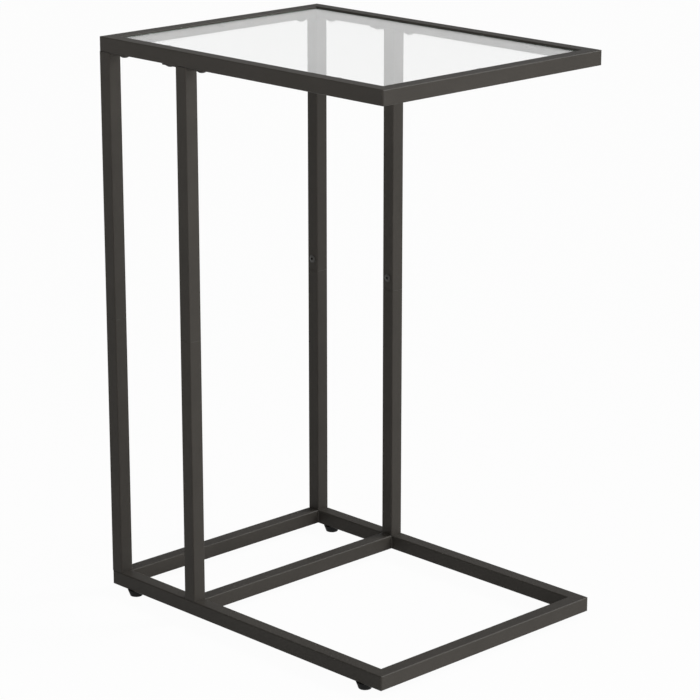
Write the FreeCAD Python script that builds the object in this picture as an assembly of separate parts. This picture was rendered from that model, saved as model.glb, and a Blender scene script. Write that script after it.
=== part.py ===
import FreeCAD, Part
import math
import os

# C-shaped side table of square steel tube with a glass pane let into its top frame.
# Millimetres. +X runs from the leg end (back) to the open end (front), +Y to the right,
# +Z up. Left and right are as seen from the open end. The origin lies on the floor,
# under the middle of the table.

# Overall size
table_length = 450.0
table_width = 336.0
table_height = 660.0

# Square tube of every rail and leg
tube = 17.0
tube_wall = 1.2
tube_corner = 1.5

# Outer corners of the two frames, where the welds over the mitres are ground round
frame_corner = 2.5

# Legs: clear gap between the back pair and the inner pair, where the halves meet, and the
# broken edge on the cut ends there, which shows as a fine groove round the leg
leg_pair_gap = 113.0
lower_leg_length = 309.0
leg_end_chamfer = 0.3

# Spigot inside each leg joint, and the screw that holds the upper half on it
spigot_length = 60.0
spigot_wall = 2.5
spigot_clearance = 0.15
joint_screw_rise = 15.0

# Flange on top of each upper leg: as wide as the tube over the leg, with narrower arms
flange_thickness = 1.5
flange_arm_width = 14.0
flange_corner = 3.0
flange_screw_reach = 17.5
flange_end_margin = 8.0

# Square nut in the bottom of each lower leg
end_nut_height = 10.0
end_nut_clearance = 0.1

# How much rounder the corners of spigots and end nuts are than the tube's bore
plug_corner_relief = 0.7

# Threads and holes, the clearances are radial
thread = 5.0
thread_clearance = 0.1
plain_hole_clearance = 0.3
thread_projection = 1.0
thread_tip = 0.6

# Rivet nuts: wall round the thread, and the collar that is crimped behind the tube's wall
rivet_nut_wall = 1.5
rivet_nut_length = 10.0
rivet_nut_collar_lip = 1.25
rivet_nut_collar_height = 2.0
rivet_nut_clearance = 0.05

# Low button heads with a hexagon socket, on the joint screws and the base bolts
button_head_ledge = 2.25
button_head_height = 1.5
button_head_rim = 0.6
socket_across_flats = 3.0
socket_depth = 1.4

# Truss heads with a cross recess, on the flange screws
truss_head_ledge = 3.0
truss_head_height = 2.8
truss_head_rim = 0.5
cross_recess_length = 4.6
cross_recess_width = 1.1
cross_recess_depth = 1.6

# Glass pane
glass_thickness = 5.0
glass_recess = 1.6
glass_clearance = 1.0
glass_corner = 3.0
glass_edge_chamfer = 0.6

# Tabs that carry the pane, and the pads on them
tab_width = 14.0
tab_reach = 12.0
tab_thickness = 2.0
tab_corner = 3.0
side_tab_from_end = 90.0
pad_diameter = 8.0
pad_thickness = 1.0
pad_edge_margin = 1.0

# Levelling feet, a little wider at the top than the rails they stand under
foot_height = 8.0
foot_top_diameter = 20.0
foot_bottom_diameter = 15.0
foot_bottom_edge = 1.0
foot_from_end = 33.0
foot_floor = 2.5
stud_hex_ledge = 1.5
stud_hex_height = 3.0
stud_top_gap = 0.8

# Places worked out from the sizes above
half_length = table_length / 2
half_width = table_width / 2
half_tube = tube / 2
tube_bore = tube - 2 * tube_wall
tube_bore_corner = max(tube_corner - tube_wall, tube_wall / 10)
ground_corner = min(frame_corner, 3 * tube_wall)
base_bottom = foot_height
base_top = base_bottom + tube
rail_bottom = table_height - tube
joint_height = base_top + lower_leg_length
flange_bottom = rail_bottom - flange_thickness
upper_leg_length = flange_bottom - joint_height
back_leg_x = -half_length + half_tube
inner_leg_x = back_leg_x + tube + leg_pair_gap
side_y = half_width - half_tube
flange_screw_from_axis = half_tube + flange_screw_reach
flange_end_from_axis = flange_screw_from_axis + flange_end_margin
thread_radius = thread / 2
tapped_radius = thread_radius + thread_clearance
plain_hole_radius = thread_radius + plain_hole_clearance
rivet_nut_radius = thread_radius + rivet_nut_wall
rivet_nut_collar_radius = rivet_nut_radius + rivet_nut_collar_lip
button_head_radius = thread_radius + button_head_ledge
truss_head_radius = thread_radius + truss_head_ledge
stud_hex = thread + 2 * stud_hex_ledge
plug_corner = tube_bore_corner + plug_corner_relief
spigot_side = tube_bore - 2 * spigot_clearance
end_nut_side = tube_bore - 2 * end_nut_clearance
joint_screw_length = tube_wall + spigot_clearance + spigot_wall + thread_projection
base_bolt_length = tube + end_nut_height + thread_projection
flange_screw_length = flange_thickness + rivet_nut_length + thread_projection
glass_top = table_height - glass_recess
glass_bottom = glass_top - glass_thickness
tab_top = glass_bottom - pad_thickness
pad_from_rail = tab_reach - pad_edge_margin - pad_diameter / 2
foot_x = half_length - foot_from_end
stud_length = tube - tube_wall - stud_top_gap

vector = FreeCAD.Vector
origin = vector(0, 0, 0)
x_axis = vector(1, 0, 0)
y_axis = vector(0, 1, 0)
z_axis = vector(0, 0, 1)

sides = {"left": -1, "right": 1}
ends = {"back": -1, "front": 1}
legs = {
    "back_left": (back_leg_x, -1),
    "back_right": (back_leg_x, 1),
    "inner_left": (inner_leg_x, -1),
    "inner_right": (inner_leg_x, 1),
}
feet = {end + "_" + side: (ends[end] * foot_x, sides[side] * side_y) for end in ends for side in sides}


def moved(shape, x, y, z):
    """A copy of the shape, shifted."""
    copy = shape.copy()
    copy.translate(vector(x, y, z))
    return copy


def copies(shape, places, height):
    """Separate copies of the shape at each place in plan, at one height."""
    return Part.makeCompound([moved(shape, x, y, height) for x, y in places])


def turned(shape, axis, degrees):
    """A copy of the shape, turned about an axis through the origin."""
    copy = shape.copy()
    copy.rotate(origin, axis, degrees)
    return copy


def box(x_range, y_range, z_range):
    """A box between two values on each axis, in either order."""
    low = vector(min(x_range), min(y_range), min(z_range))
    high = vector(max(x_range), max(y_range), max(z_range))
    size = high - low
    return Part.makeBox(size.x, size.y, size.z, low)


def upright_cylinder(radius, x, y, z_low, z_high):
    """A cylinder along Z."""
    return Part.makeCylinder(radius, z_high - z_low, vector(x, y, z_low), z_axis)


def upright_edges(shape, wanted=None):
    """The edges along Z, all of them or those whose middle passes a test."""
    found = []
    for edge in shape.Edges:
        first, last = edge.Vertexes[0].Point, edge.Vertexes[-1].Point
        along = last - first
        if math.hypot(along.x, along.y) < 1e-6 and abs(along.z) > 1e-6:
            if wanted is None or wanted((first + last) / 2):
                found.append(edge)
    return found


def square_bar(side, length, corner):
    """A square bar with round corners, standing on the origin."""
    bar = box((-side / 2, side / 2), (-side / 2, side / 2), (0, length))
    return bar.makeFillet(corner, upright_edges(bar))


def frame_tube(length):
    """The table's square tube, standing on the origin."""
    bore = square_bar(tube_bore, length, tube_bore_corner)
    return square_bar(tube, length, tube_corner).cut(bore)


def plan_prism(points, z_low, z_high):
    """An upright prism on a closed outline in plan."""
    corners = [vector(x, y, z_low) for x, y in points]
    outline = Part.makePolygon(corners + corners[:1])
    return Part.Face(outline).extrude(vector(0, 0, z_high - z_low))


def side_rail(side, bottom):
    """A rail along X at the left (-1) or right (+1), with mitred ends."""
    rail = turned(frame_tube(table_length), y_axis, 90)
    rail = moved(rail, -half_length, side * side_y, bottom + half_tube)
    outer, inner = side * half_width, side * (half_width - tube)
    mitre = [
        (-half_length, outer),
        (half_length, outer),
        (half_length - tube, inner),
        (-half_length + tube, inner),
    ]
    return rail.common(plan_prism(mitre, bottom, bottom + tube))


def end_rail(end, bottom):
    """A rail along Y at the back (-1) or front (+1), with mitred ends."""
    rail = turned(frame_tube(table_width), x_axis, -90)
    rail = moved(rail, end * (half_length - half_tube), -half_width, bottom + half_tube)
    outer, inner = end * half_length, end * (half_length - tube)
    mitre = [
        (outer, -half_width),
        (outer, half_width),
        (inner, half_width - tube),
        (inner, -half_width + tube),
    ]
    return rail.common(plan_prism(mitre, bottom, bottom + tube))


def corner_grindings(bottom):
    """What is ground off the four outer corners of a rectangular frame."""
    taken = []
    for end in ends.values():
        for side in sides.values():
            tip_x, tip_y = end * half_length, side * half_width
            x, y = tip_x - end * ground_corner, tip_y - side * ground_corner
            corner = box((x, tip_x), (y, tip_y), (bottom, bottom + tube))
            taken.append(corner.cut(upright_cylinder(ground_corner, x, y, bottom, bottom + tube)))
    return taken


def frame_rails(bottom, holes):
    """The four rails of one rectangular frame by name, with holes cut through them."""
    cuts = holes + corner_grindings(bottom)
    rails = {}
    for name, side in sides.items():
        rails[name] = side_rail(side, bottom).cut(cuts)
    for name, end in ends.items():
        rails[name] = end_rail(end, bottom).cut(cuts)
    return rails


def flange_arms(leg):
    """Directions in plan of a leg's flange arms: a corner on the back legs, a bar on the inner ones."""
    x, side = legs[leg]
    if x == back_leg_x:
        return [(1, 0), (0, -side)]
    return [(1, 0), (-1, 0)]


def flange_screw_places():
    """Where the flange screws stand in plan."""
    reach = flange_screw_from_axis
    places = []
    for leg, (x, side) in legs.items():
        for arm_x, arm_y in flange_arms(leg):
            places.append((x + arm_x * reach, side * side_y + arm_y * reach))
    return places


def leg_flange(leg):
    """The plate on top of an upper leg, in place, with its screw holes."""
    x, side = legs[leg]
    y = side * side_y
    half = flange_arm_width / 2
    plate = moved(square_bar(tube, flange_thickness, tube_corner), x, y, flange_bottom)
    for arm_x, arm_y in flange_arms(leg):
        tip_x, tip_y = x + arm_x * flange_end_from_axis, y + arm_y * flange_end_from_axis
        x_range = (x, tip_x) if arm_x else (x - half, x + half)
        y_range = (y, tip_y) if arm_y else (y - half, y + half)
        arm = box(x_range, y_range, (flange_bottom, rail_bottom))
        at_tip = upright_edges(arm, lambda p: abs((p.x - tip_x) * arm_x + (p.y - tip_y) * arm_y) < 1e-6)
        plate = plate.fuse(arm.makeFillet(flange_corner, at_tip))
    plate = plate.removeSplitter()
    for arm_x, arm_y in flange_arms(leg):
        hole_x, hole_y = x + arm_x * flange_screw_from_axis, y + arm_y * flange_screw_from_axis
        plate = plate.cut(upright_cylinder(plain_hole_radius, hole_x, hole_y, flange_bottom, rail_bottom))
    return plate


def domed_screw(radius, head_height, head_rim, length):
    """A screw with its head's seat at the origin, its dome up and its thread down."""
    rise = head_height - head_rim
    dome_radius = (radius ** 2 + rise ** 2) / (2 * rise)
    half_angle = math.asin(radius / dome_radius) / 2
    middle_x = dome_radius * math.sin(half_angle)
    middle_z = head_height - dome_radius * (1 - math.cos(half_angle))
    corners = [
        vector(0, 0, head_height),
        vector(0, 0, -length),
        vector(thread_radius - thread_tip, 0, -length),
        vector(thread_radius, 0, -length + thread_tip),
        vector(thread_radius, 0, 0),
        vector(radius, 0, 0),
        vector(radius, 0, head_rim),
    ]
    dome = Part.Arc(corners[-1], vector(middle_x, 0, middle_z), corners[0]).toShape()
    half_section = Part.Face(Part.Wire(Part.makePolygon(corners).Edges + [dome]))
    return half_section.revolve(origin, z_axis, 360)


def hexagon(across_flats, z_low, z_high):
    """A hexagonal prism about the Z axis."""
    corner_radius = across_flats / math.sqrt(3)
    points = []
    for step in range(6):
        angle = math.radians(60 * step)
        points.append((corner_radius * math.cos(angle), corner_radius * math.sin(angle)))
    return plan_prism(points, z_low, z_high)


def socket_screw(length):
    """A button-head screw with a hexagon socket."""
    socket = hexagon(socket_across_flats, button_head_height - socket_depth, button_head_height)
    return domed_screw(button_head_radius, button_head_height, button_head_rim, length).cut(socket)


def cross_screw(length):
    """A truss-head screw with a cross recess."""
    long_half, wide_half = cross_recess_length / 2, cross_recess_width / 2
    depth = (truss_head_height - cross_recess_depth, truss_head_height)
    recess = box((-long_half, long_half), (-wide_half, wide_half), depth)
    recess = recess.fuse(box((-wide_half, wide_half), (-long_half, long_half), depth))
    return domed_screw(truss_head_radius, truss_head_height, truss_head_rim, length).cut(recess)


def rivet_nut():
    """A rivet nut set in a tube wall: its open end is flush with the outer face, at the origin."""
    nut = upright_cylinder(rivet_nut_radius, 0, 0, 0, rivet_nut_length)
    collar_top = tube_wall + rivet_nut_collar_height
    collar = upright_cylinder(rivet_nut_collar_radius, 0, 0, tube_wall, collar_top)
    bore = upright_cylinder(tapped_radius, 0, 0, 0, rivet_nut_length)
    return nut.fuse(collar).removeSplitter().cut(bore)


def wall_holes(places, outer_face):
    """Holes for rivet nuts in the lower wall of a rail whose outer face is at this height."""
    radius = rivet_nut_radius + rivet_nut_clearance
    return [upright_cylinder(radius, x, y, outer_face, outer_face + tube_wall) for x, y in places]


def joint_screw_frame(screw, x, side):
    """Turns and moves a screw to a leg's inner face, above the joint."""
    inner_face = side * (side_y - half_tube)
    return moved(turned(screw, x_axis, side * 90), x, inner_face, joint_height + joint_screw_rise)


def across_leg(radius, depth):
    """A drill for the joint screw's hole: along -Z from the origin, to be set like the screw."""
    return upright_cylinder(radius, 0, 0, -depth, 0)


def broken_edge(leg, height):
    """Chamfers the outer edge of an upright tube's cut end at this height."""
    for face in leg.Faces:
        if face.BoundBox.ZLength < 1e-6 and abs(face.BoundBox.ZMin - height) < 1e-6:
            return leg.makeChamfer(leg_end_chamfer, face.OuterWire.Edges)
    raise ValueError("the tube has no cut end at this height")


def upper_leg(x, side):
    """The upper half of a leg, with the plain hole for its joint screw."""
    leg = moved(broken_edge(frame_tube(upper_leg_length), 0), x, side * side_y, joint_height)
    return leg.cut(joint_screw_frame(across_leg(plain_hole_radius, half_tube), x, side))


def lower_leg(x, side):
    """The lower half of a leg."""
    leg = broken_edge(frame_tube(lower_leg_length), lower_leg_length)
    return moved(leg, x, side * side_y, base_top)


def leg_spigot(x, side):
    """The square tube inside a leg joint, tapped on its inner face."""
    bar = square_bar(spigot_side, spigot_length, plug_corner)
    hollow = spigot_side - 2 * spigot_wall
    bar = bar.cut(box((-hollow / 2, hollow / 2), (-hollow / 2, hollow / 2), (0, spigot_length)))
    spigot = moved(bar, x, side * side_y, joint_height - spigot_length / 2)
    return spigot.cut(joint_screw_frame(across_leg(tapped_radius, half_tube), x, side))


def leg_end_nut(x, side):
    """The square nut in the bottom of a lower leg."""
    plug = square_bar(end_nut_side, end_nut_height, plug_corner)
    plug = plug.cut(upright_cylinder(tapped_radius, 0, 0, 0, end_nut_height))
    return moved(plug, x, side * side_y, base_top)


def glass_pane():
    """The pane, with round corners and ground edges."""
    half_x = half_length - tube - glass_clearance
    half_y = half_width - tube - glass_clearance
    pane = box((-half_x, half_x), (-half_y, half_y), (glass_bottom, glass_top))
    pane = pane.makeFillet(glass_corner, upright_edges(pane))
    rim = [edge for edge in pane.Edges if edge.BoundBox.ZLength < 1e-6]
    return pane.makeChamfer(glass_edge_chamfer, rim)


def tab_places():
    """Each tab's place on the inner face of a rail, with the direction it reaches in."""
    inner_x, inner_y = half_length - tube, half_width - tube
    tab_x = half_length - side_tab_from_end
    places = []
    for side in sides.values():
        for end in ends.values():
            places.append((end * tab_x, side * inner_y, 0, -side))
    for end in ends.values():
        places.append((end * inner_x, 0, -end, 0))
    return places


def glass_tab(x, y, reach_x, reach_y):
    """A flat tab with round free corners."""
    tip_x, tip_y = x + reach_x * tab_reach, y + reach_y * tab_reach
    half = tab_width / 2
    x_range = (x, tip_x) if reach_x else (x - half, x + half)
    y_range = (y, tip_y) if reach_y else (y - half, y + half)
    tab = box(x_range, y_range, (tab_top - tab_thickness, tab_top))
    free = upright_edges(tab, lambda p: abs((p.x - tip_x) * reach_x + (p.y - tip_y) * reach_y) < 1e-6)
    return tab.makeFillet(tab_corner, free)


def glass_pad(x, y, reach_x, reach_y):
    """A round pad near a tab's free end."""
    pad_x, pad_y = x + reach_x * pad_from_rail, y + reach_y * pad_from_rail
    return upright_cylinder(pad_diameter / 2, pad_x, pad_y, tab_top, glass_bottom)


def foot_stud():
    """A threaded stud with its hexagon, standing on the foot's floor plane at the origin."""
    top = foot_height + stud_length
    stud = upright_cylinder(thread_radius, 0, 0, foot_floor + stud_hex_height, top)
    rim = [edge for edge in stud.Edges if edge.BoundBox.ZMin > top - 1e-6]
    stud = stud.makeChamfer(thread_tip, rim)
    return stud.fuse(hexagon(stud_hex, foot_floor, foot_floor + stud_hex_height))


def foot_glide():
    """The tapered foot, moulded round the stud's hexagon."""
    cone = Part.makeCone(foot_bottom_diameter / 2, foot_top_diameter / 2, foot_height)
    sole = [edge for edge in cone.Edges if edge.BoundBox.ZMax < 1e-6]
    cone = cone.makeFillet(foot_bottom_edge, sole)
    hex_top = foot_floor + stud_hex_height
    cone = cone.cut(hexagon(stud_hex, foot_floor, hex_top))
    return cone.cut(upright_cylinder(tapped_radius, 0, 0, hex_top, foot_height))


flange_screws_at = flange_screw_places()
leg_axes = [(x, side * side_y) for x, side in legs.values()]
foot_axes = list(feet.values())
bolt_holes = [upright_cylinder(plain_hole_radius, x, y, base_bottom, base_top) for x, y in leg_axes]

parts = {}
for name, rail in frame_rails(rail_bottom, wall_holes(flange_screws_at, rail_bottom)).items():
    parts["top_rail_" + name] = rail
for name, rail in frame_rails(base_bottom, bolt_holes + wall_holes(foot_axes, base_bottom)).items():
    parts["base_rail_" + name] = rail
cross_rail = turned(frame_tube(table_width - 2 * tube), x_axis, -90)
parts["base_cross_rail"] = moved(cross_rail, inner_leg_x, -half_width + tube, base_bottom + half_tube)

for name, (x, side) in legs.items():
    parts["upper_leg_" + name] = upper_leg(x, side)
    parts["lower_leg_" + name] = lower_leg(x, side)
    parts["leg_flange_" + name] = leg_flange(name)
    parts["leg_spigot_" + name] = leg_spigot(x, side)
    parts["leg_end_nut_" + name] = leg_end_nut(x, side)

joint_screw = socket_screw(joint_screw_length)
base_bolt = turned(socket_screw(base_bolt_length), x_axis, 180)
flange_screw = turned(cross_screw(flange_screw_length), x_axis, 180)
parts["joint_screws"] = Part.makeCompound([joint_screw_frame(joint_screw, *leg) for leg in legs.values()])
parts["base_bolts"] = copies(base_bolt, leg_axes, base_bottom)
parts["flange_screws"] = copies(flange_screw, flange_screws_at, flange_bottom)
parts["top_rail_rivet_nuts"] = copies(rivet_nut(), flange_screws_at, rail_bottom)
parts["foot_rivet_nuts"] = copies(rivet_nut(), foot_axes, base_bottom)

parts["glass_pane"] = glass_pane()
parts["glass_tabs"] = Part.makeCompound([glass_tab(*place) for place in tab_places()])
parts["glass_pads"] = Part.makeCompound([glass_pad(*place) for place in tab_places()])

for name, (x, y) in feet.items():
    parts["foot_glide_" + name] = moved(foot_glide(), x, y, 0)
    parts["foot_stud_" + name] = moved(foot_stud(), x, y, 0)

os.makedirs("parts", exist_ok=True)
for name, shape in parts.items():
    shape.exportStep("parts/" + name + ".step")
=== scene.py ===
import math

import bmesh
import bpy
from bpy.props import FloatProperty, FloatVectorProperty, PointerProperty
from mathutils import Matrix, Vector


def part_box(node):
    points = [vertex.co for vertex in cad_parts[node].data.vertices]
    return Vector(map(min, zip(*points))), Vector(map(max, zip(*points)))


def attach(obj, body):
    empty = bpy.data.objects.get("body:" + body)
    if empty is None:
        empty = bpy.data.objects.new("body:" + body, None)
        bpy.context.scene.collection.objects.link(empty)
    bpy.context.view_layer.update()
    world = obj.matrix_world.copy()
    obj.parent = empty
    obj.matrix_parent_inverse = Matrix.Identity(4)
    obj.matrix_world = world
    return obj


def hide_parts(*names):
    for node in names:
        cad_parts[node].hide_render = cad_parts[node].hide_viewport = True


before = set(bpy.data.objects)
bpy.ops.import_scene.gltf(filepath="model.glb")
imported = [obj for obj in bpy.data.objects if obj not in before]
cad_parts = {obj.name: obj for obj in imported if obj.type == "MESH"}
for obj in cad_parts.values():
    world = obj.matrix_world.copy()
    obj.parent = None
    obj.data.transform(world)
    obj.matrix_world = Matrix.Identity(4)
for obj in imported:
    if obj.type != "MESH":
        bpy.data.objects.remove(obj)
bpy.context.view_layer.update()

bl_info = {
    "name": "C-Shaped Side Table",
    "version": (1, 0, 0),
    "blender": (4, 5, 0),
    "location": "3D View > Sidebar > Side Table",
    "description": "Finishes a C-shaped side table of coated square tube with a glass top",
    "category": "Object",
}

MM = 0.001

LEGS = ("back_left", "back_right", "inner_left", "inner_right")
FEET = ("back_left", "back_right", "front_left", "front_right")
COAT = "Matt charcoal powder coat"
WHITE = (1.0, 1.0, 1.0)
DOWN = Vector((0, 0, -1))

# How finely the round pieces are drawn
ROUND_SIDES = 48
HEAD_SIDES = 96
BEAD_SIDES = 10
RINGS_PER_RIPPLE = 4
THREAD_STEPS = 24
CURVE_STEPS = 7

# Edges that turn further than this stay crisp, and the pane's faces that lean further are its rim
SHARP_ANGLE = math.radians(35)

# Vertices this near are merged, solids this near touch, and a pole is a ring too small to stay open
MERGE_DISTANCE = 0.002 * MM
TOUCHING = 0.1 * MM
POLE_RADIUS = MERGE_DISTANCE / 4

# Stands in for a zero that something is divided by
TINY = 1e-6

# A thread's depth and its two flats, as shares of its pitch
THREAD_DEPTH = 0.61
ROOT_FLAT = 1 / 4
CREST_FLAT = 1 / 8

# The hollow under a foot and its mouth, as shares of the sole's radius
HOLLOW_RADIUS = 0.55
HOLLOW_MOUTH = 0.65

GLASS_IOR = 1.52
SILICONE_IOR = 1.41
POLYETHYLENE_IOR = 1.51
SENSOR_WIDTH = 36.0

# A Mix node's sockets share their names, so they are picked by number
NUMBER_A, NUMBER_B, COLOUR_A, COLOUR_B = 2, 3, 6, 7
MIXED_COLOUR = 2


# Settings


def linear(code):
    """Turns an sRGB hex colour, such as "#3B3834", into linear red, green and blue."""
    shares = [int(code[at:at + 2], 16) / 255 for at in (1, 3, 5)]
    return tuple(s / 12.92 if s <= 0.04045 else ((s + 0.055) / 1.055) ** 2.4 for s in shares)


def length(name, description, millimetres):
    """A length that a user can set, given in millimetres and kept in metres."""
    return FloatProperty(name=name, description=description, default=millimetres * MM, min=0.0,
                         precision=5, unit="LENGTH")


def colour(name, description, code):
    """A colour that a user can set, given as sRGB hex."""
    return FloatVectorProperty(name=name, description=description, default=linear(code), min=0.0, max=1.0,
                               size=3, subtype="COLOR")


def share(name, description, default):
    """A plain factor from 0 to 1 that a user can set."""
    return FloatProperty(name=name, description=description, default=default, min=0.0, max=1.0,
                         subtype="FACTOR")


def place(name, description, millimetres):
    """A point that a user can set, given in millimetres and kept in metres."""
    return FloatVectorProperty(name=name, description=description, size=3, subtype="XYZ", unit="LENGTH",
                               default=[value * MM for value in millimetres])


def angle(name, description, degrees):
    """An angle that a user can set, given in degrees."""
    return FloatProperty(name=name, description=description, default=math.radians(degrees),
                         subtype="ANGLE", unit="ROTATION")


def power(name, description, watts):
    """A lamp's power that a user can set."""
    return FloatProperty(name=name, description=description, default=watts, min=0.0, unit="POWER")


class SideTableFinish(bpy.types.PropertyGroup):
    """Colours and surfaces of the table."""

    coat: colour("Powder coat", "Colour of the coat on every tube", "#3B3834")
    coat_roughness: share("Coat roughness", "How far the coat spreads its reflections", 0.52)
    coat_shine: share("Coat shine", "How strongly the coat reflects", 0.12)
    coat_peel: length("Orange peel", "Width of the coat's shallow waves", 2.2)
    coat_grain: length("Coat grain", "Width of the coat's fine grain", 0.6)
    glass_light: colour("Glass", "What a thick body of the glass lets through", "#C3CFC8")
    glass_density: FloatProperty(name="Glass density", description="How quickly the glass takes on its tint",
                                 default=8.0, min=0.0)
    # The rim's colour is darker than a ground glass rim is: part of it is painted shade for the gap between
    # the pane and the rails
    glass_rim_and_shade: colour("Glass rim", "Colour of the pane's ground rim", "#48584F")
    black_oxide: colour("Black oxide", "Colour of the blackened screws", "#464543")
    zinc: colour("Zinc", "Colour of the plated hidden hardware", "#B4B7BA")
    plastic: colour("Foot plastic", "Colour of the moulded feet", "#060606")
    plastic_shine: share("Plastic shine", "How strongly the feet reflect", 0.16)
    silicone: colour("Silicone", "Tint of the clear pads under the pane", "#EEF0EF")


class SideTableDetail(bpy.types.PropertyGroup):
    """Sizes of the details that are modelled here."""

    bead: length("Weld size", "Leg length of the fillet welds", 1.7)
    bead_margin: length("Weld margin", "How far a weld stops short of a piece's ends", 1.6)
    ripple: length("Weld ripple", "Spacing of the ripples on a weld", 1.5)
    ripple_depth: share("Ripple depth", "How much of a weld's size its ripples take", 0.16)
    tab_weld: length("Tab weld", "Length of the weld under a glass tab", 9.6)
    button_radius: length("Button head radius", "Outer radius of the button heads", 4.75)
    button_height: length("Button head height", "Height of the low button heads", 1.5)
    socket: length("Socket", "Width across flats of the hexagon sockets", 3.0)
    socket_depth: length("Socket depth", "Depth of the hexagon sockets", 2.0)
    truss_radius: length("Truss head radius", "Outer radius of the flange screws' heads", 5.5)
    truss_height: length("Truss head height", "Height of the flange screws' heads", 2.8)
    cross_reach: length("Cross recess reach", "Length of one arm of the cross recess", 2.3)
    cross_width: length("Cross recess width", "Width of the cross recess", 1.1)
    cross_depth: length("Cross recess depth", "Depth of the cross recess", 1.6)
    head_rim: length("Head rim", "Straight rim below a head's dome", 0.6)
    head_edge: length("Head edge", "Broken edge round a head and its recess", 0.25)
    neck_length: length("Neck length", "Plain neck between a screw's head and its thread", 1.5)
    screw_turn: angle("Screw turn", "How far each screw is turned past the one before", 37.0)
    thread: length("Thread", "Outer diameter of the threads", 5.0)
    pitch: length("Thread pitch", "Rise of the threads in one turn", 0.8)
    flange_margin: length("Flange margin", "From a flange's end to its screw", 8.0)
    foot_sole: length("Foot sole radius", "Radius of a foot where it meets the floor", 7.5)
    foot_hollow: length("Foot hollow", "Depth of the hollow under a foot", 0.5)
    foot_edge: length("Foot edge", "Radius round a foot's sole", 1.0)
    foot_lip: length("Foot lip", "Radius round a foot's upper rim", 1 / 3)
    foot_floor: length("Foot floor", "Plastic below a foot's stud", 2.5)
    stud_hex: length("Stud hexagon", "Width across flats of the stud's moulded-in hexagon", 8.0)
    stud_hex_height: length("Stud hexagon height", "Height of that hexagon", 3.0)
    stud_clearance: length("Stud clearance", "Gap round a stud's thread where it leaves the foot", 0.1)
    pane_corner: length("Pane corner", "Radius of the pane's corners", 3.0)
    pane_chamfer: length("Pane chamfer", "Chamfer round the pane's upper and lower edges", 0.6)
    pad_edge: length("Pad edge", "Rounding of the pads' upper edges", 0.6)
    pad_gap: length("Pad gap", "Hair's breadth between the pads and the pane", 0.02)


class SideTableStage(bpy.types.PropertyGroup):
    """Camera, floor and light."""

    azimuth: angle("Azimuth", "Camera's turn round the table, from looking along +Y", 45.82)
    elevation: angle("Elevation", "Camera's angle above the horizon", 16.15)
    distance: length("Distance", "From the camera to the point it looks at", 3112.0)
    aim: place("Aim", "Point that the camera looks at", (2.3, 2.2, 308.0))
    lens: FloatProperty(name="Lens", description="Focal length on a 36 mm sensor", default=140.8,
                        min=1.0, subtype="DISTANCE_CAMERA")
    floor: colour("Floor", "Colour of the pale floor", "#D2D1CF")
    floor_size: length("Floor size", "Half the width of the floor", 30000.0)
    floor_glow: share("Floor glow", "How much of the floor's white is seen whatever falls on it", 0.965)
    ambient: share("Ambient light", "Even light from all round the room", 0.12)
    backdrop: share("Backdrop", "How bright the room's lower part is in reflections", 0.86)
    backdrop_top: share("Backdrop top", "Upward slope at which the backdrop starts to fade", 0.2)
    ceiling: share("Ceiling", "How bright the room's upper part is in reflections", 0.16)
    ceiling_foot: share("Ceiling foot", "Upward slope at which the backdrop has faded", 0.42)
    key_from: place("Key from", "Where the broad soft light at the right shines from",
                    (900.0, 1900.0, 2100.0))
    key_strength: power("Key strength", "Light from the right, on each square metre that faces it", 1.9)
    key_spread: angle("Key spread", "Width of the broad light, as seen from the table", 20.0)
    glint_strength: power("Glint strength", "Added to the light from the right in reflections alone", 2.6)
    front_place: place("Front place", "Middle of the soft light before the open end", (2400.0, 150.0, 250.0))
    front_power: power("Front power", "Power of the light before the open end", 59.0)
    front_size: length("Front size", "Width of the light before the open end", 1400.0)
    fill_place: place("Fill place", "Middle of the weak light at the left", (-50.0, -850.0, 1250.0))
    fill_power: power("Fill power", "Power of the light at the left", 4.4)
    fill_size: length("Fill size", "Width of the light at the left", 500.0)


class SideTableSettings(bpy.types.PropertyGroup):
    """All that a user can change."""

    finish: PointerProperty(name="Finish", description="Colours and surfaces", type=SideTableFinish)
    detail: PointerProperty(name="Detail", description="Sizes of the details", type=SideTableDetail)
    stage: PointerProperty(name="Stage", description="Camera, floor and light", type=SideTableStage)


def settings():
    """The scene's side table settings."""
    return bpy.context.scene.side_table


# Nodes and materials


def feed(tree, target, inputs):
    """Sets a node's sockets by name or number: an output is linked to it, anything else is its value."""
    for key, value in inputs.items():
        if isinstance(value, bpy.types.NodeSocket):
            tree.links.new(value, target.inputs[key])
        else:
            target.inputs[key].default_value = value


def node(tree, kind, inputs=None, **choices):
    """Adds a node with its settings and what feeds it."""
    made = tree.nodes.new(kind)
    for name, value in choices.items():
        setattr(made, name, value)
    feed(tree, made, inputs or {})
    return made


def new_material(name):
    """A finish to be filled in: the material, its tree and its surface shader."""
    material = bpy.data.materials.new(name)
    material.use_nodes = True
    tree = material.node_tree
    return material, tree, tree.nodes["Principled BSDF"]


def opaque(rgb, gain=1.0):
    """A colour socket's four numbers, lightened or darkened by a gain."""
    return (*[value * gain for value in rgb], 1.0)


def shades(rgb, darker, lighter):
    """One colour's darker and lighter shade, for the two colour sockets of a Mix node."""
    return {COLOUR_A: opaque(rgb, darker), COLOUR_B: opaque(rgb, lighter)}


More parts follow.
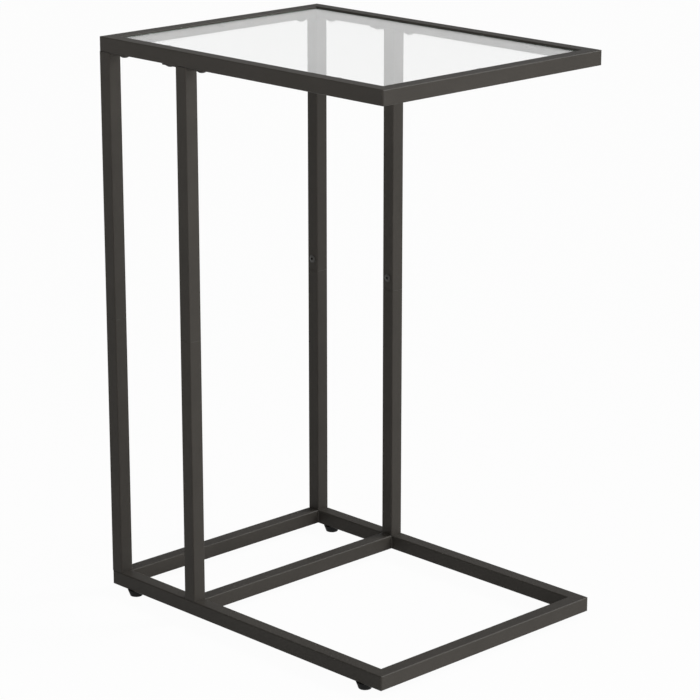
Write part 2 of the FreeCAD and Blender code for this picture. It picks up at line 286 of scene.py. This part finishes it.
def powder_coat():
    """Polyester powder baked on steel: warm charcoal, matt, with shallow orange peel and a fine grain
    that breaks up its sheen. The grain is drawn at about twice its real width, so that it shows."""
    finish = settings().finish
    cloud_width, peel_depth, grain_depth = 45 * MM, 0.1 * MM, 0.05 * MM
    sheen_swing = 0.05
    material, tree, shader = new_material(COAT)
    where = node(tree, "ShaderNodeTexCoord").outputs["Object"]
    clouds = node(tree, "ShaderNodeTexNoise", {"Vector": where, "Scale": 1 / cloud_width, "Detail": 3.0})
    peel = node(tree, "ShaderNodeTexNoise", {"Vector": where, "Scale": 1 / finish.coat_peel, "Detail": 1.0})
    grain = node(tree, "ShaderNodeTexNoise", {"Vector": where, "Scale": 1 / finish.coat_grain, "Detail": 2.0})
    tone = node(tree, "ShaderNodeMix", {"Factor": clouds.outputs[0], **shades(finish.coat, 0.86, 1.14)},
                data_type="RGBA")
    sheen = node(tree, "ShaderNodeMapRange", {"Value": grain.outputs[0], "From Min": 0.3, "From Max": 0.7,
                                              "To Min": finish.coat_roughness - sheen_swing,
                                              "To Max": finish.coat_roughness + sheen_swing})
    waves = node(tree, "ShaderNodeBump", {"Strength": 0.35, "Distance": peel_depth,
                                          "Height": peel.outputs[0]})
    texture = node(tree, "ShaderNodeBump", {"Strength": 0.3, "Distance": grain_depth,
                                            "Height": grain.outputs[0], "Normal": waves.outputs[0]})
    feed(tree, shader, {"Base Color": tone.outputs[MIXED_COLOUR], "Roughness": sheen.outputs[0],
                        "Specular IOR Level": finish.coat_shine, "Normal": texture.outputs[0]})
    return material


def float_glass():
    """Clear float glass: fire-polished and colourless face on, faintly green through its depth."""
    finish = settings().finish
    material, tree, shader = new_material("Clear float glass")
    feed(tree, shader, {"Base Color": opaque(WHITE), "Roughness": 0.0, "IOR": GLASS_IOR,
                        "Transmission Weight": 1.0})
    depth = node(tree, "ShaderNodeVolumeAbsorption", {"Color": opaque(finish.glass_light),
                                                      "Density": finish.glass_density})
    tree.links.new(depth.outputs[0], tree.nodes["Material Output"].inputs["Volume"])
    return material


def ground_glass_and_shade():
    """Glass ground with a fine belt: the pane's rim is a matt grey-green with a faint grit, painted darker
    than a ground rim is, as painted shade in the gap between the pane and the rails.
    The grit is drawn a few times coarser than it is, so that it shows."""
    grit_width = 0.5 * MM
    material, tree, shader = new_material("Ground glass rim")
    where = node(tree, "ShaderNodeTexCoord").outputs["Object"]
    grit = node(tree, "ShaderNodeTexNoise", {"Vector": where, "Scale": 1 / grit_width, "Detail": 2.0})
    # The rim's dark colour is partly its own grey-green and partly painted shade for the gap round the pane
    rim = shades(settings().finish.glass_rim_and_shade, 0.8, 1.2)
    tone = node(tree, "ShaderNodeMix", {"Factor": grit.outputs[0], **rim}, data_type="RGBA")
    matt = node(tree, "ShaderNodeMapRange", {"Value": grit.outputs[0], "To Min": 0.45, "To Max": 0.65})
    feed(tree, shader, {"Base Color": tone.outputs[MIXED_COLOUR], "Roughness": matt.outputs[0],
                        "IOR": GLASS_IOR})
    return material


def clear_silicone():
    """Cast clear silicone: soft, slightly cloudy, with a dull skin."""
    cloud_width = 2 * MM
    material, tree, shader = new_material("Clear silicone")
    where = node(tree, "ShaderNodeTexCoord").outputs["Object"]
    cloud = node(tree, "ShaderNodeTexNoise", {"Vector": where, "Scale": 1 / cloud_width, "Detail": 2.0})
    skin = node(tree, "ShaderNodeMapRange", {"Value": cloud.outputs[0], "To Min": 0.05, "To Max": 0.15})
    feed(tree, shader, {"Base Color": opaque(settings().finish.silicone), "Roughness": skin.outputs[0],
                        "IOR": SILICONE_IOR, "Transmission Weight": 1.0})
    return material


def black_oxide_steel():
    """Cold-headed steel with a black oxide: nearly black, with an oily sheen on its forged skin.
    The skin is drawn a few times coarser than it is, so that it shows."""
    skin_width, skin_depth = 0.9 * MM, 0.05 * MM
    material, tree, shader = new_material("Black-oxide steel")
    where = node(tree, "ShaderNodeTexCoord").outputs["Object"]
    skin = node(tree, "ShaderNodeTexNoise", {"Vector": where, "Scale": 1 / skin_width, "Detail": 3.0})
    oxide = shades(settings().finish.black_oxide, 0.7, 1.3)
    tone = node(tree, "ShaderNodeMix", {"Factor": skin.outputs[0], **oxide}, data_type="RGBA")
    sheen = node(tree, "ShaderNodeMapRange", {"Value": skin.outputs[0], "To Min": 0.34, "To Max": 0.54})
    forged = node(tree, "ShaderNodeBump", {"Strength": 0.25, "Distance": skin_depth,
                                           "Height": skin.outputs[0]})
    feed(tree, shader, {"Base Color": tone.outputs[MIXED_COLOUR], "Metallic": 1.0,
                        "Roughness": sheen.outputs[0], "Normal": forged.outputs[0]})
    return material


def zinc_plated_steel():
    """Bright zinc on pressed steel: pale grey with faint cloudy patches and a satin shine."""
    patch_width = 4 * MM
    material, tree, shader = new_material("Zinc-plated steel")
    where = node(tree, "ShaderNodeTexCoord").outputs["Object"]
    patches = node(tree, "ShaderNodeTexNoise", {"Vector": where, "Scale": 1 / patch_width, "Detail": 3.0})
    zinc = shades(settings().finish.zinc, 0.85, 1.12)
    tone = node(tree, "ShaderNodeMix", {"Factor": patches.outputs[0], **zinc}, data_type="RGBA")
    sheen = node(tree, "ShaderNodeMapRange", {"Value": patches.outputs[0], "To Min": 0.24, "To Max": 0.42})
    feed(tree, shader, {"Base Color": tone.outputs[MIXED_COLOUR], "Metallic": 1.0,
                        "Roughness": sheen.outputs[0]})
    return material


def moulded_polyethylene():
    """Injection-moulded black polyethylene: waxy black with a fine spark-eroded grain.
    The grain is drawn a few times coarser than it is, so that it shows."""
    finish = settings().finish
    spark_width, spark_depth = 0.4 * MM, 0.03 * MM
    material, tree, shader = new_material("Moulded black polyethylene")
    where = node(tree, "ShaderNodeTexCoord").outputs["Object"]
    spark = node(tree, "ShaderNodeTexNoise", {"Vector": where, "Scale": 1 / spark_width, "Detail": 2.0})
    tone = node(tree, "ShaderNodeMix", {"Factor": spark.outputs[0], **shades(finish.plastic, 0.75, 1.25)},
                data_type="RGBA")
    sheen = node(tree, "ShaderNodeMapRange", {"Value": spark.outputs[0], "To Min": 0.5, "To Max": 0.66})
    grain = node(tree, "ShaderNodeBump", {"Strength": 0.3, "Distance": spark_depth,
                                          "Height": spark.outputs[0]})
    feed(tree, shader, {"Base Color": tone.outputs[MIXED_COLOUR], "Roughness": sheen.outputs[0],
                        "IOR": POLYETHYLENE_IOR, "Specular IOR Level": finish.plastic_shine,
                        "Normal": grain.outputs[0]})
    return material


def dress(slot, material):
    """Gives every node of one material slot its finish."""
    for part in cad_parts.values():
        for held in part.material_slots:
            if held.name == slot:
                held.material = material


# Modelling


def middle(node_name):
    """The middle of a node's box."""
    low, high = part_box(node_name)
    return (low + high) / 2


def standing_in(low, high):
    """A matrix that stands a body made along +Z in the middle of a box's floor."""
    return Matrix.Translation(((low.x + high.x) / 2, (low.y + high.y) / 2, low.z))


def pointing(direction, point, turn=0.0):
    """A matrix that stands a body made along +Z on a point, along a direction, turned about it."""
    stand = Vector(direction).to_track_quat("Z", "Y").to_matrix().to_4x4()
    return Matrix.Translation(point) @ stand @ Matrix.Rotation(turn, 4, "Z")


def set_ring(verts, height, radius):
    """Moves a ring's vertices to a height and a radius, which may be a function of the angle.
    A pole keeps a tiny radius, so that its vertices still know their angles until they are merged."""
    for vert in verts:
        around = math.atan2(vert.co.y, vert.co.x)
        reach = max(radius(around) if callable(radius) else radius, POLE_RADIUS)
        vert.co = (reach * math.cos(around), reach * math.sin(around), height)


def ring_stack(rings, sides=ROUND_SIDES):
    """A closed body about Z, grown ring by ring: each ring has a height and a radius."""
    bm = bmesh.new()
    verts = bmesh.ops.create_circle(bm, segments=sides, radius=1.0)["verts"]
    edges = bm.edges[:]
    set_ring(verts, *rings[0])
    for height, radius in rings[1:]:
        grown = bmesh.ops.extrude_edge_only(bm, edges=edges)["geom"]
        verts = [item for item in grown if isinstance(item, bmesh.types.BMVert)]
        edges = [item for item in grown if isinstance(item, bmesh.types.BMEdge) and item.is_boundary]
        set_ring(verts, height, radius)
    close(bm)
    return bm


def round_edge(height, radius, edge):
    """Rings that round a body's side over into its top at a height."""
    turns = [math.pi / 2 * step / CURVE_STEPS for step in range(CURVE_STEPS + 1)]
    return [(height - edge + edge * math.sin(turn), radius - edge + edge * math.cos(turn)) for turn in turns]


def close(bm):
    """Merges poles and seams, then caps what is still open."""
    bmesh.ops.remove_doubles(bm, verts=bm.verts[:], dist=MERGE_DISTANCE)
    bmesh.ops.holes_fill(bm, edges=[edge for edge in bm.edges if edge.is_boundary])
    bmesh.ops.recalc_face_normals(bm, faces=bm.faces[:])


def add_copy(bm, body, matrix):
    """Adds a copy of a body, moved into place."""
    mesh = bpy.data.meshes.new("copy")
    body.to_mesh(mesh)
    mesh.transform(matrix)
    bm.from_mesh(mesh)
    bpy.data.meshes.remove(mesh)


def make_piece(bm, name, material, body, slot, *stands_for):
    """Makes a piece: smooth, with its finish, riding on a body, in place of the nodes it stands for."""
    mesh = bpy.data.meshes.new(name)
    bm.to_mesh(mesh)
    bm.free()
    mesh.shade_smooth()
    mesh.set_sharp_from_angle(angle=SHARP_ANGLE)
    mesh.materials.append(material)
    piece = bpy.data.objects.new(name, mesh)
    bpy.context.scene.collection.objects.link(piece)
    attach(piece, body)
    if stands_for:
        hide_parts(*stands_for)
    return piece


def loose_boxes(node_name):
    """The box of each separate solid in a node."""
    bm = bmesh.new()
    bm.from_mesh(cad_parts[node_name].data)
    bmesh.ops.remove_doubles(bm, verts=bm.verts[:], dist=MERGE_DISTANCE)
    seen = set()
    boxes = []
    for seed in bm.verts:
        if seed in seen:
            continue
        seen.add(seed)
        solid = [seed]
        # The list grows while it is walked, until no neighbour is left
        for vert in solid:
            near = [edge.other_vert(vert) for edge in vert.link_edges]
            fresh = [other for other in near if other not in seen]
            seen.update(fresh)
            solid += fresh
        low, high = [[end(vert.co[axis] for vert in solid) for axis in range(3)] for end in (min, max)]
        boxes.append((Vector(low), Vector(high)))
    bm.free()
    return boxes


def hexagon(across_flats):
    """A hexagon's radius as a function of the angle."""
    return lambda around: across_flats / 2 / math.cos((around + math.pi / 6) % (math.pi / 3) - math.pi / 6)


def cross(reach, width):
    """A cross recess's radius as a function of the angle."""
    def radius(around):
        off_arm = (around + math.pi / 4) % (math.pi / 2) - math.pi / 4
        slant = max(abs(math.sin(off_arm)), TINY)
        return min(reach / math.cos(off_arm), width / 2 / slant)
    return radius


def screw_head(radius, height, recess, recess_reach, recess_depth):
    """A domed head on its seat at the origin, with a recess of a given outline sunk in its top and a plain
    neck below, about as thick as the thread at half its depth."""
    detail = settings().detail
    rim, edge = detail.head_rim, detail.head_edge
    neck_bottom, neck_radius = -detail.neck_length, detail.thread / 2 - detail.pitch / 3
    rise = height - rim
    dome = (radius ** 2 + rise ** 2) / (2 * rise)
    mouth = recess_reach + edge
    rings = [(neck_bottom, 0.0), (neck_bottom, neck_radius), (0.0, neck_radius)]
    rings += [(0.0, radius - edge), (edge, radius), (rim, radius)]
    for step in range(1, CURVE_STEPS + 1):
        out = radius + (mouth - radius) * step / CURVE_STEPS
        rings.append((height - dome + math.sqrt(dome ** 2 - out ** 2), out))
    lip, floor = rings[-1][0], height - recess_depth
    rings += [(lip - edge, recess), (floor, recess), (floor - edge, 0.0)]
    return ring_stack(rings, HEAD_SIDES)


def threaded_rod(bottom, top):
    """A rod about Z with a real thread: one turn's outline is spun upwards, a turn too far at each end,
    then trimmed to length."""
    detail = settings().detail
    crest, pitch = detail.thread / 2, detail.pitch
    root, root_flat = crest - THREAD_DEPTH * pitch, ROOT_FLAT * pitch
    flank = (1 - ROOT_FLAT - CREST_FLAT) / 2 * pitch
    outline = [(root, 0.0), (root, root_flat), (crest, root_flat + flank),
               (crest, pitch - flank), (root, pitch)]
    turns = math.ceil((top - bottom) / pitch) + 2
    bm = bmesh.new()
    verts = [bm.verts.new((out, 0.0, bottom - pitch + up)) for out, up in outline]
    edges = [bm.edges.new(pair) for pair in zip(verts, verts[1:])]
    bmesh.ops.spin(bm, geom=verts + edges, cent=(0, 0, 0), axis=(0, 0, 1), dvec=(0, 0, pitch / THREAD_STEPS),
                   angle=2 * math.pi * turns, steps=THREAD_STEPS * turns, use_merge=False)
    bmesh.ops.remove_doubles(bm, verts=bm.verts[:], dist=MERGE_DISTANCE)
    for height, below in ((bottom, True), (top, False)):
        everything = bm.verts[:] + bm.edges[:] + bm.faces[:]
        bmesh.ops.bisect_plane(bm, geom=everything, plane_co=(0, 0, height), plane_no=(0, 0, 1),
                               clear_inner=below, clear_outer=not below)
    close(bm)
    return bm


def weld_bead(run):
    """A fillet bead of one length along Z: a rod that swells at each ripple, with round ends."""
    detail = settings().detail
    ripples = max(2, round(run / detail.ripple))
    steps = ripples * RINGS_PER_RIPPLE
    rings = []
    for step in range(steps + 1):
        along = run * step / steps
        crest = abs(math.sin(math.pi * ripples * step / steps))
        swell = 1 - detail.ripple_depth * (1 - crest)
        to_end = min(along, run - along, detail.bead) / detail.bead
        round_end = math.sqrt(max(0.0, 1 - (1 - to_end) ** 2))
        rings.append((along, detail.bead * swell * round_end))
    return ring_stack(rings, BEAD_SIDES)


def add_beads(bm, lines):
    """Lays a bead along each line, given by its two ends."""
    for start, end in lines:
        run = end - start
        bead = weld_bead(run.length)
        add_copy(bm, bead, pointing(run, start))
        bead.free()


# Operators


class SIDETABLE_OT_coat_frame(bpy.types.Operator):
    """Coat the tubes, flanges and tabs of the frame"""

    bl_idname = "side_table.coat_frame"
    bl_label = "Coat the frame"
    bl_options = {"REGISTER", "UNDO"}

    def execute(self, context):
        dress("powder_coat", powder_coat())
        return {"FINISHED"}


def corner_welds(rails, bottom, top):
    """Upright weld lines in the four inside corners of a rectangular frame of rails."""
    back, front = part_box(rails + "_back")[1].x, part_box(rails + "_front")[0].x
    left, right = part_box(rails + "_left")[1].y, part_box(rails + "_right")[0].y
    return [(Vector((x, y, bottom)), Vector((x, y, top))) for x in (back, front) for y in (left, right)]


def base_welds(margin):
    """Weld lines in the base: its inside corners, and both sides of the cross rail's ends."""
    low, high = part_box("base_cross_rail")
    bottom, top = low.z + margin, high.z - margin
    lines = corner_welds("base_rail", bottom, top)
    for x in (low.x, high.x):
        for y in (low.y, high.y):
            lines.append((Vector((x, y, bottom)), Vector((x, y, top))))
    return lines


def top_welds(margin):
    """Weld lines in the top frame: its inside corners below the pane, and under the tabs."""
    rail_bottom, tab_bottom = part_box("top_rail_left")[0].z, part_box("glass_tabs")[0].z
    half = settings().detail.tab_weld / 2
    lines = corner_welds("top_rail", rail_bottom + margin, tab_bottom)
    for root, along in tab_roots():
        lines.append((root - along * half, root + along * half))
    return lines


def tab_roots():
    """Where each tab's underside leaves its rail, with the direction along that rail."""
    inner_x, inner_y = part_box("top_rail_front")[0].x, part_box("top_rail_right")[0].y
    roots = []
    for low, high in loose_boxes("glass_tabs"):
        x, y = (low.x + high.x) / 2, (low.y + high.y) / 2
        if max(abs(low.y), abs(high.y)) > inner_y - TOUCHING:
            roots.append((Vector((x, math.copysign(inner_y, y), low.z)), Vector((1, 0, 0))))
        else:
            roots.append((Vector((math.copysign(inner_x, x), y, low.z)), Vector((0, 1, 0))))
    return roots


def flange_welds(leg, margin):
    """Weld lines under a leg's flange, on the leg faces that the flange's arms leave."""
    leg_low, leg_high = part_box("upper_leg_" + leg)
    low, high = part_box("leg_flange_" + leg)
    lines = []
    for axis, other in ((0, 1), (1, 0)):
        arms = ((leg_low[axis], leg_low[axis] - low[axis]), (leg_high[axis], high[axis] - leg_high[axis]))
        for face, reach in arms:
            if reach > margin:
                start, end = leg_low.copy(), leg_high.copy()
                start[axis] = end[axis] = face
                start[other] += margin
                end[other] -= margin
                start.z = end.z = low.z
                lines.append((start, end))
    return lines


class SIDETABLE_OT_lay_welds(bpy.types.Operator):
    """Lay the rippled weld beads in the frame's inside corners, under the flanges and under the tabs"""

    bl_idname = "side_table.lay_welds"
    bl_label = "Lay the welds"
    bl_options = {"REGISTER", "UNDO"}

    def execute(self, context):
        margin = settings().detail.bead_margin
        groups = {"base_welds": base_welds(margin), "top_frame_welds": top_welds(margin)}
        for leg in LEGS:
            groups["flange_welds_" + leg] = flange_welds(leg, margin)
        for name, lines in groups.items():
            bm = bmesh.new()
            add_beads(bm, lines)
            make_piece(bm, name, bpy.data.materials[COAT], "frame", "powder_coat")
        return {"FINISHED"}


def climb(edge):
    """How far an edge rises from one end to the other."""
    return abs(edge.verts[0].co.z - edge.verts[1].co.z)


def pane_body():
    """The pane: a slab with round corners and chamfered edges. Its faces are glass, its rim is ground."""
    detail = settings().detail
    low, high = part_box("glass_pane")
    bm = bmesh.new()
    slab = Matrix.Translation((low + high) / 2) @ Matrix.Diagonal((*(high - low), 1.0))
    bmesh.ops.create_cube(bm, size=1.0, matrix=slab)
    upright = [edge for edge in bm.edges if climb(edge) > MERGE_DISTANCE]
    bmesh.ops.bevel(bm, geom=upright, offset=detail.pane_corner, offset_type="OFFSET", affect="EDGES",
                    segments=CURVE_STEPS, profile=0.5, material=-1)
    level = [edge for edge in bm.edges if climb(edge) < MERGE_DISTANCE]
    bmesh.ops.bevel(bm, geom=level, offset=detail.pane_chamfer, offset_type="OFFSET", affect="EDGES",
                    segments=1, profile=0.5, material=-1)
    bmesh.ops.recalc_face_normals(bm, faces=bm.faces[:])
    for face in bm.faces:
        face.material_index = 0 if abs(face.normal.z) > math.cos(SHARP_ANGLE) else 1
    return bm


class SIDETABLE_OT_lay_glass(bpy.types.Operator):
    """Lay the pane with its ground rim, and the clear pads under it"""

    bl_idname = "side_table.lay_glass"
    bl_label = "Lay the glass"
    bl_options = {"REGISTER", "UNDO"}

    def execute(self, context):
        detail = settings().detail
        pane = make_piece(pane_body(), "float_glass_pane", float_glass(), "glass", "clear_glass",
                          "glass_pane")
        pane.data.materials.append(ground_glass_and_shade())
        # Clear glass hardly dims the light on the frame. Without its shadow the lamps shine straight through
        # it, so bounced light leaves it out too, or the frame below would get the lamps' light twice.
        pane.visible_shadow = False
        pane.visible_diffuse = False
        bm = bmesh.new()
        for low, high in loose_boxes("glass_pads"):
            radius, height = (high.x - low.x) / 2, high.z - low.z - detail.pad_gap
            rounded = round_edge(height, radius, detail.pad_edge)
            pad = ring_stack([(0.0, 0.0), (0.0, radius), *rounded, (height, 0.0)])
            add_copy(bm, pad, standing_in(low, high))
            pad.free()
        make_piece(bm, "clear_pads", clear_silicone(), "frame", "clear_silicone", "glass_pads")
        return {"FINISHED"}


def flange_screw_places(leg):
    """Where a leg's two flange screws stand under its flange."""
    margin = settings().detail.flange_margin
    axis = middle("upper_leg_" + leg)
    low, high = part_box("leg_flange_" + leg)
    inward = low.y + margin if axis.y > 0 else high.y - margin
    if leg.startswith("back"):
        return [Vector((high.x - margin, axis.y, low.z)), Vector((axis.x, inward, low.z))]
    return [Vector((low.x + margin, axis.y, low.z)), Vector((high.x - margin, axis.y, low.z))]


def screw_stands():
    """Where the joint screws, base bolts and flange screws seat, and which way their heads face."""
    joint_height, bolt_seat = middle("joint_screws").z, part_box("base_rail_left")[0].z
    joints, bolts, flange_screws = [], [], []
    for leg in LEGS:
        axis = middle("upper_leg_" + leg)
        low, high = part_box("upper_leg_" + leg)
        inner_face = low.y if axis.y > 0 else high.y
        inward = Vector((0, math.copysign(1, -axis.y), 0))
        joints.append((Vector((axis.x, inner_face, joint_height)), inward))
        bolts.append((Vector((axis.x, axis.y, bolt_seat)), DOWN))
        flange_screws += [(point, DOWN) for point in flange_screw_places(leg)]
    return joints, bolts, flange_screws


def screws_on(stands, head, reach):
    """Screws of one kind on their stands, with threads of one reach, each turned past the one before."""
    detail = settings().detail
    bm = bmesh.new()
    shank = threaded_rod(-reach, detail.head_edge - detail.neck_length)
    for number, (point, direction) in enumerate(stands):
        stand = pointing(direction, point, number * detail.screw_turn)
        add_copy(bm, head, stand)
        add_copy(bm, shank, stand)
    shank.free()
    return bm


class SIDETABLE_OT_drive_screws(bpy.types.Operator):
    """Drive the blackened joint screws, base bolts and flange screws"""

    bl_idname = "side_table.drive_screws"
    bl_label = "Drive the screws"
    bl_options = {"REGISTER", "UNDO"}

    def execute(self, context):
        detail = settings().detail
        button = screw_head(detail.button_radius, detail.button_height, hexagon(detail.socket),
                            detail.socket / math.sqrt(3), detail.socket_depth)
        recess = cross(detail.cross_reach, detail.cross_width)
        truss = screw_head(detail.truss_radius, detail.truss_height, recess, detail.cross_reach,
                           detail.cross_depth)
        joints, bolts, flange_screws = screw_stands()
        joint_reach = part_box("joint_screws")[1].y - abs(joints[0][0].y)
        bolt_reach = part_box("base_bolts")[1].z - bolts[0][0].z
        flange_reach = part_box("flange_screws")[1].z - flange_screws[0][0].z
        steel = black_oxide_steel()
        for name, stands, head, reach, node_name in (
            ("joint_button_screws", joints, button, joint_reach, "joint_screws"),
            ("base_button_bolts", bolts, button, bolt_reach, "base_bolts"),
            ("flange_truss_screws", flange_screws, truss, flange_reach, "flange_screws"),
        ):
            make_piece(screws_on(stands, head, reach), name, steel, "frame", "black_screws", node_name)
        button.free()
        truss.free()
        return {"FINISHED"}


def foot_rings(height, top_radius):
    """A foot's outline: a sole with a shallow hollow, a round edge, a taper, and the pocket for its stud."""
    detail = settings().detail
    sole, hollow, floor = detail.foot_sole, detail.foot_hollow, detail.foot_floor
    bore = detail.thread / 2 + detail.stud_clearance
    pocket, pocket_top = hexagon(detail.stud_hex), floor + detail.stud_hex_height
    rings = [(hollow, 0.0), (hollow, sole * HOLLOW_RADIUS), (0.0, sole * HOLLOW_MOUTH)]
    rings += [(-depth, radius) for depth, radius in reversed(round_edge(0.0, sole, detail.foot_edge))]
    rings += round_edge(height, top_radius, detail.foot_lip)
    return rings + [(height, bore), (pocket_top, bore), (pocket_top, pocket), (floor, pocket), (floor, 0.0)]


class SIDETABLE_OT_fit_feet(bpy.types.Operator):
    """Fit the tapered levelling feet on their threaded studs, and plate the hidden hardware"""

    bl_idname = "side_table.fit_feet"
    bl_label = "Fit the feet"
    bl_options = {"REGISTER", "UNDO"}

    def execute(self, context):
        detail = settings().detail
        plastic, zinc = moulded_polyethylene(), zinc_plated_steel()
        dress("zinc_steel", zinc)
        hexagonal = hexagon(detail.stud_hex)
        hex_top = detail.foot_floor + detail.stud_hex_height
        for foot in FEET:
            body = "levelling_foot_" + foot
            low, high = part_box("foot_glide_" + foot)
            axis = standing_in(low, high)
            glide = ring_stack(foot_rings(high.z - low.z, (high.x - low.x) / 2))
            glide.transform(axis)
            make_piece(glide, "tapered_foot_" + foot, plastic, body, "black_plastic", "foot_glide_" + foot)
            stud = threaded_rod(hex_top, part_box("foot_stud_" + foot)[1].z - low.z)
            nut = ring_stack([(detail.foot_floor, hexagonal), (hex_top, hexagonal)])
            add_copy(stud, nut, Matrix.Identity(4))
            nut.free()
            stud.transform(axis)
            make_piece(stud, "threaded_stud_" + foot, zinc, body, "zinc_steel", "foot_stud_" + foot)
        return {"FINISHED"}


def seen_directly(tree):
    """One for rays from the camera, and for those that glass or a shiny surface sends on."""
    path = node(tree, "ShaderNodeLightPath")
    lit = node(tree, "ShaderNodeMath", {0: path.outputs["Is Camera Ray"], 1: path.outputs["Is Glossy Ray"]},
               operation="MAXIMUM")
    return node(tree, "ShaderNodeMath", {0: lit.outputs[0], 1: path.outputs["Is Transmission Ray"]},
                operation="MAXIMUM").outputs[0]


def pale_floor():
    """A matt white floor that is seen as near white, with the table's soft shadow on it.
    It is clear from below, so that the table can be looked at from there."""
    stage = settings().stage
    material, tree, shader = new_material("Matt white floor")
    tree.nodes.remove(shader)
    matt = node(tree, "ShaderNodeBsdfDiffuse", {"Color": opaque(stage.floor)})
    glow = node(tree, "ShaderNodeEmission", {"Color": opaque(WHITE)})
    weight = node(tree, "ShaderNodeMath", {0: seen_directly(tree), 1: stage.floor_glow}, operation="MULTIPLY")
    top = node(tree, "ShaderNodeMixShader", {0: weight.outputs[0], 1: matt.outputs[0], 2: glow.outputs[0]})
    below = node(tree, "ShaderNodeNewGeometry").outputs["Backfacing"]
    clear = node(tree, "ShaderNodeBsdfTransparent")
    both = node(tree, "ShaderNodeMixShader", {0: below, 1: top.outputs[0], 2: clear.outputs[0]})
    tree.links.new(both.outputs[0], tree.nodes["Material Output"].inputs["Surface"])
    return material


def studio_world():
    """White to the camera and through glass, an even ambient light, and in reflections a white backdrop
    that ends a little above the horizon, under a dim ceiling."""
    stage = settings().stage
    world = bpy.data.worlds.new("Soft studio")
    world.use_nodes = True
    tree = world.node_tree
    rays = node(tree, "ShaderNodeLightPath").outputs
    direction = node(tree, "ShaderNodeTexCoord").outputs["Generated"]
    upward = node(tree, "ShaderNodeSeparateXYZ", {0: direction}).outputs["Z"]
    mirrored = node(tree, "ShaderNodeMapRange", {"Value": upward, "From Min": stage.backdrop_top,
                                                 "From Max": stage.ceiling_foot, "To Min": stage.backdrop,
                                                 "To Max": stage.ceiling})
    soft = node(tree, "ShaderNodeMix", {"Factor": rays["Is Glossy Ray"], NUMBER_A: stage.ambient,
                                        NUMBER_B: mirrored.outputs[0]}, data_type="FLOAT")
    clear = node(tree, "ShaderNodeMath", {0: rays["Is Camera Ray"], 1: rays["Is Transmission Ray"]},
                 operation="MAXIMUM")
    strength = node(tree, "ShaderNodeMix", {"Factor": clear.outputs[0], NUMBER_A: soft.outputs[0],
                                            NUMBER_B: 1.0}, data_type="FLOAT")
    feed(tree, tree.nodes["Background"], {"Color": opaque(WHITE), "Strength": strength.outputs[0]})
    return world


def lay_floor(scene):
    """Lays the wide floor that the table stands on."""
    bm = bmesh.new()
    bmesh.ops.create_grid(bm, x_segments=1, y_segments=1, size=settings().stage.floor_size)
    mesh = bpy.data.meshes.new("floor")
    bm.to_mesh(mesh)
    bm.free()
    mesh.materials.append(pale_floor())
    floor = bpy.data.objects.new("floor", mesh)
    scene.collection.objects.link(floor)


def lamp(kind, name, centre, aim, **choices):
    """A lamp that stands at a point and faces another, and is itself seen only in reflections."""
    light = bpy.data.lights.new(name, kind)
    for key, value in choices.items():
        setattr(light, key, value)
    stand = bpy.data.objects.new(name, light)
    stand.location = centre
    stand.rotation_euler = (Vector(aim) - Vector(centre)).to_track_quat("-Z", "Y").to_euler()
    stand.visible_camera = False
    stand.visible_transmission = False
    bpy.context.scene.collection.objects.link(stand)
    return stand


def hang_lamps():
    """Hangs the broad light at the right, the soft one before the open end and the weak one at the left."""
    stage = settings().stage
    origin = (0, 0, 0)
    lamp("SUN", "key_light", stage.key_from, origin, energy=stage.key_strength, angle=stage.key_spread)
    glint = lamp("SUN", "glint_light", stage.key_from, origin, energy=stage.glint_strength,
                 angle=stage.key_spread)
    # It lifts the sheen alone, because the key light already lights the surfaces themselves
    glint.visible_diffuse = False
    lamp("AREA", "front_light", stage.front_place, stage.aim, energy=stage.front_power, size=stage.front_size)
    lamp("AREA", "fill_light", stage.fill_place, stage.aim, energy=stage.fill_power, size=stage.fill_size)


def stand_camera(scene):
    """Stands the camera at its angle and distance from the point it looks at."""
    stage = settings().stage
    level = math.cos(stage.elevation)
    back = Vector((math.sin(stage.azimuth) * level, -math.cos(stage.azimuth) * level,
                   math.sin(stage.elevation)))
    camera = bpy.data.cameras.new("camera")
    camera.lens = stage.lens
    camera.sensor_width = SENSOR_WIDTH
    viewer = bpy.data.objects.new("camera", camera)
    viewer.location = Vector(stage.aim) + back * stage.distance
    viewer.rotation_euler = (-back).to_track_quat("-Z", "Y").to_euler()
    scene.collection.objects.link(viewer)
    scene.camera = viewer


class SIDETABLE_OT_set_stage(bpy.types.Operator):
    """Set the floor, the soft light and the camera"""

    bl_idname = "side_table.set_stage"
    bl_label = "Set the stage"
    bl_options = {"REGISTER", "UNDO"}

    def execute(self, context):
        scene = context.scene
        lay_floor(scene)
        scene.world = studio_world()
        hang_lamps()
        stand_camera(scene)
        scene.view_settings.view_transform = "Standard"
        return {"FINISHED"}


OPERATORS = (
    SIDETABLE_OT_coat_frame,
    SIDETABLE_OT_lay_welds,
    SIDETABLE_OT_lay_glass,
    SIDETABLE_OT_drive_screws,
    SIDETABLE_OT_fit_feet,
    SIDETABLE_OT_set_stage,
)


class SIDETABLE_PT_panel(bpy.types.Panel):
    """The side table's steps and settings"""

    bl_idname = "SIDETABLE_PT_panel"
    bl_label = "Side Table"
    bl_space_type = "VIEW_3D"
    bl_region_type = "UI"
    bl_category = "Side Table"

    def draw(self, context):
        layout = self.layout
        for step in OPERATORS:
            layout.operator(step.bl_idname)
        for group in (settings().finish, settings().detail, settings().stage):
            box = layout.box()
            for name in group.__annotations__:
                box.prop(group, name)


CLASSES = (
    SideTableFinish,
    SideTableDetail,
    SideTableStage,
    SideTableSettings,
    *OPERATORS,
    SIDETABLE_PT_panel,
)


def register():
    for cls in CLASSES:
        bpy.utils.register_class(cls)
    bpy.types.Scene.side_table = PointerProperty(type=SideTableSettings)


def unregister():
    del bpy.types.Scene.side_table
    for cls in reversed(CLASSES):
        bpy.utils.unregister_class(cls)


def main():
    register()
    bpy.ops.side_table.coat_frame()
    bpy.ops.side_table.lay_welds()
    bpy.ops.side_table.lay_glass()
    bpy.ops.side_table.drive_screws()
    bpy.ops.side_table.fit_feet()
    bpy.ops.side_table.set_stage()


if __name__ == "__main__":
    main()
